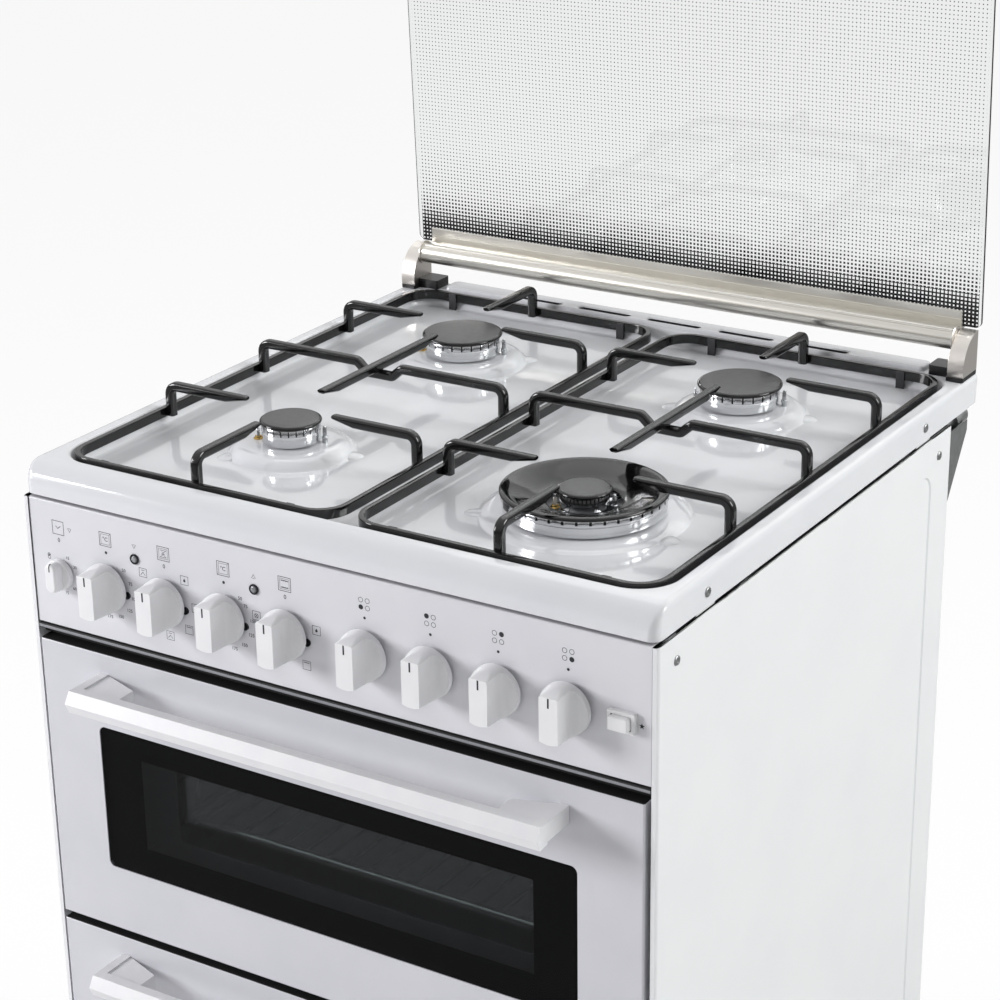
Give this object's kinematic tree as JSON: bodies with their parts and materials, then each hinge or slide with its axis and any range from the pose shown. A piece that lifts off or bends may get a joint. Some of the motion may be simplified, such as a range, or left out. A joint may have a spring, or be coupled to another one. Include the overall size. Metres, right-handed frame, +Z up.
{
  "type": "gas hob cooker",
  "caption": "Free-standing cooker with a gas hob, wire pan supports, a hinged glass lid, a knob panel and two drop-down oven doors.",
  "frame": {"origin": "on the floor, under the middle of the whole cooker with its handles and lid", "axes": "+X to the right seen from the front, +Y from front to back, +Z up"},
  "size_m": [0.6028, 0.6552, 1.4963],
  "materials": {
    "white_side_enamel": "gloss enamel on steel",
    "hob_enamel": "white vitreous enamel, high gloss",
    "panel_enamel": "pale satin enamel",
    "door_enamel": "gloss white enamel",
    "galvanised_sheet": "galvanised",
    "frame_enamel": "black enamel",
    "oven_enamel": "dark grey speckled enamel",
    "black_moulding": "gloss",
    "element_steel": "heat darkened",
    "rack_chrome": "bright chrome wire",
    "fan_steel": "plain sheet",
    "motor_paint": "dark paint",
    "seal_rubber": "matt",
    "dark_glass": "dark printed glass",
    "inner_glass": "clear",
    "lid_glass": "toughened, printed edge",
    "handle_white": "white gloss",
    "pipe_steel": "zinc plated",
    "pipe_aluminium": "drawn tube",
    "tap_brass": "machined",
    "cast_aluminium": "die cast",
    "burner_aluminium": "polished",
    "cap_enamel": "black enamel",
    "electrode_ceramic": "white ceramic",
    "support_enamel": "black gloss enamel",
    "pad_rubber": "grey silicone",
    "base_plastic": "black moulded",
    "tower_metal": "satin nickel",
    "rail_aluminium": "satin champagne anodised",
    "control_plastic": "moulded",
    "lamp_plastic": "translucent lens",
    "switch_plastic": "white",
    "knob_plastic": "white satin gloss",
    "screw_steel": "zinc plated",
    "foot_plastic": "black"
  },
  "bodies": {
    "root": {"left_side_panel": "white_side_enamel", "right_side_panel": "white_side_enamel", "back_panels": "galvanised_sheet", "base_tray": "galvanised_sheet", "plinth_panel": "white_side_enamel", "front_frame": "frame_enamel", "hob_top": "hob_enamel", "control_panel": "panel_enamel", "panel_trim": "black_moulding", "upper_oven_cavity": "oven_enamel", "lower_oven_cavity": "oven_enamel", "heating_elements": "element_steel", "shelves_and_racks": "rack_chrome", "fan_motor": "motor_paint", "fan_cover": "oven_enamel", "door_seals": "seal_rubber", "gas_manifold": "pipe_steel", "gas_pipes": "pipe_aluminium", "tap_bodies": "tap_brass", "burner_cups": "cast_aluminium", "burner_heads": "burner_aluminium", "burner_caps": "cap_enamel", "burner_electrodes": "electrode_ceramic", "left_pan_support": "support_enamel", "right_pan_support": "support_enamel", "support_pads": "pad_rubber", "hinge_bases": "base_plastic", "hinge_towers": "tower_metal", "oven_controls": "control_plastic", "indicator_lamps": "lamp_plastic", "ignition_switch": "switch_plastic", "screws": "screw_steel", "levelling_feet": "foot_plastic"},
    "lid": {"lid_glass": "lid_glass", "lid_rail": "rail_aluminium"},
    "upper_door": {"upper_door_panel": "door_enamel", "upper_door_window": "dark_glass", "upper_door_frame": "frame_enamel", "upper_door_inner_glass": "inner_glass", "upper_door_handle": "handle_white"},
    "lower_door": {"lower_door_panel": "door_enamel", "lower_door_window": "dark_glass", "lower_door_frame": "frame_enamel", "lower_door_inner_glass": "inner_glass", "lower_door_handle": "handle_white"},
    "timer": {"timer_knob": "knob_plastic"},
    "ignition_button": {"ignition_button": "switch_plastic"},
    "fan": {"fan_wheel": "fan_steel"},
    "lower_thermostat": {"lower_thermostat_knob": "knob_plastic"},
    "lower_function": {"lower_function_knob": "knob_plastic"},
    "upper_thermostat": {"upper_thermostat_knob": "knob_plastic"},
    "upper_function": {"upper_function_knob": "knob_plastic"},
    "front_left_tap": {"front_left_tap_plug": "tap_brass"},
    "front_left_gas_knob": {"front_left_knob": "knob_plastic"},
    "rear_left_tap": {"rear_left_tap_plug": "tap_brass"},
    "rear_left_gas_knob": {"rear_left_knob": "knob_plastic"},
    "rear_right_tap": {"rear_right_tap_plug": "tap_brass"},
    "rear_right_gas_knob": {"rear_right_knob": "knob_plastic"},
    "front_right_tap": {"front_right_tap_plug": "tap_brass"},
    "front_right_gas_knob": {"front_right_knob": "knob_plastic"}
  },
  "joints": [
    {"name": "lid_hinge", "type": "hinge", "parent": "root", "child": "lid", "pos_m": [0, 0.30642, 0.9335], "axis": [1, 0, 0], "range_deg": [0, 87.5]},
    {"name": "upper_door_hinge", "type": "hinge", "parent": "root", "child": "upper_door", "pos_m": [0, -0.26658, 0.492], "axis": [1, 0, 0], "range_deg": [0, 90]},
    {"name": "lower_door_hinge", "type": "hinge", "parent": "root", "child": "lower_door", "pos_m": [0, -0.26658, 0.133], "axis": [1, 0, 0], "range_deg": [0, 90]},
    {"name": "timer_turn", "type": "hinge", "parent": "root", "child": "timer", "pos_m": [-0.2664, -0.27658, 0.806], "axis": [0, 1, 0], "range_deg": [-35, 300]},
    {"name": "lower_thermostat_turn", "type": "hinge", "parent": "root", "child": "lower_thermostat", "pos_m": [-0.2157, -0.27658, 0.8055], "axis": [0, 1, 0], "range_deg": [0, 300]},
    {"name": "lower_function_turn", "type": "hinge", "parent": "root", "child": "lower_function", "pos_m": [-0.1548, -0.27658, 0.8055], "axis": [0, 1, 0], "continuous": true},
    {"name": "upper_thermostat_turn", "type": "hinge", "parent": "root", "child": "upper_thermostat", "pos_m": [-0.0939, -0.27658, 0.8055], "axis": [0, 1, 0], "range_deg": [0, 300]},
    {"name": "upper_function_turn", "type": "hinge", "parent": "root", "child": "upper_function", "pos_m": [-0.033, -0.27658, 0.8055], "axis": [0, 1, 0], "continuous": true},
    {"name": "front_left_tap_turn", "type": "hinge", "parent": "root", "child": "front_left_tap", "pos_m": [0.0431, -0.27658, 0.8055], "axis": [0, -1, 0], "range_deg": [0, 210]},
    {"name": "front_left_knob_push", "type": "slide", "parent": "front_left_tap", "child": "front_left_gas_knob", "axis": [0, 1, 0], "range_m": [0, 0.003], "stiffness_N_per_m": 600, "springref_m": -0.003},
    {"name": "rear_left_tap_turn", "type": "hinge", "parent": "root", "child": "rear_left_tap", "pos_m": [0.104, -0.27658, 0.8055], "axis": [0, -1, 0], "range_deg": [0, 210]},
    {"name": "rear_left_knob_push", "type": "slide", "parent": "rear_left_tap", "child": "rear_left_gas_knob", "axis": [0, 1, 0], "range_m": [0, 0.003], "stiffness_N_per_m": 600, "springref_m": -0.003},
    {"name": "rear_right_tap_turn", "type": "hinge", "parent": "root", "child": "rear_right_tap", "pos_m": [0.1649, -0.27658, 0.8055], "axis": [0, -1, 0], "range_deg": [0, 210]},
    {"name": "rear_right_knob_push", "type": "slide", "parent": "rear_right_tap", "child": "rear_right_gas_knob", "axis": [0, 1, 0], "range_m": [0, 0.003], "stiffness_N_per_m": 600, "springref_m": -0.003},
    {"name": "front_right_tap_turn", "type": "hinge", "parent": "root", "child": "front_right_tap", "pos_m": [0.2258, -0.27658, 0.8055], "axis": [0, -1, 0], "range_deg": [0, 210]},
    {"name": "front_right_knob_push", "type": "slide", "parent": "front_right_tap", "child": "front_right_gas_knob", "axis": [0, 1, 0], "range_m": [0, 0.003], "stiffness_N_per_m": 600, "springref_m": -0.003},
    {"name": "ignition_push", "type": "slide", "parent": "root", "child": "ignition_button", "axis": [0, 1, 0], "range_m": [0, 0.0025], "stiffness_N_per_m": 500, "springref_m": -0.002},
    {"name": "fan_turn", "type": "hinge", "parent": "root", "child": "fan", "pos_m": [0, 0.18342, 0.616], "axis": [0, 1, 0], "continuous": true}
  ]
}
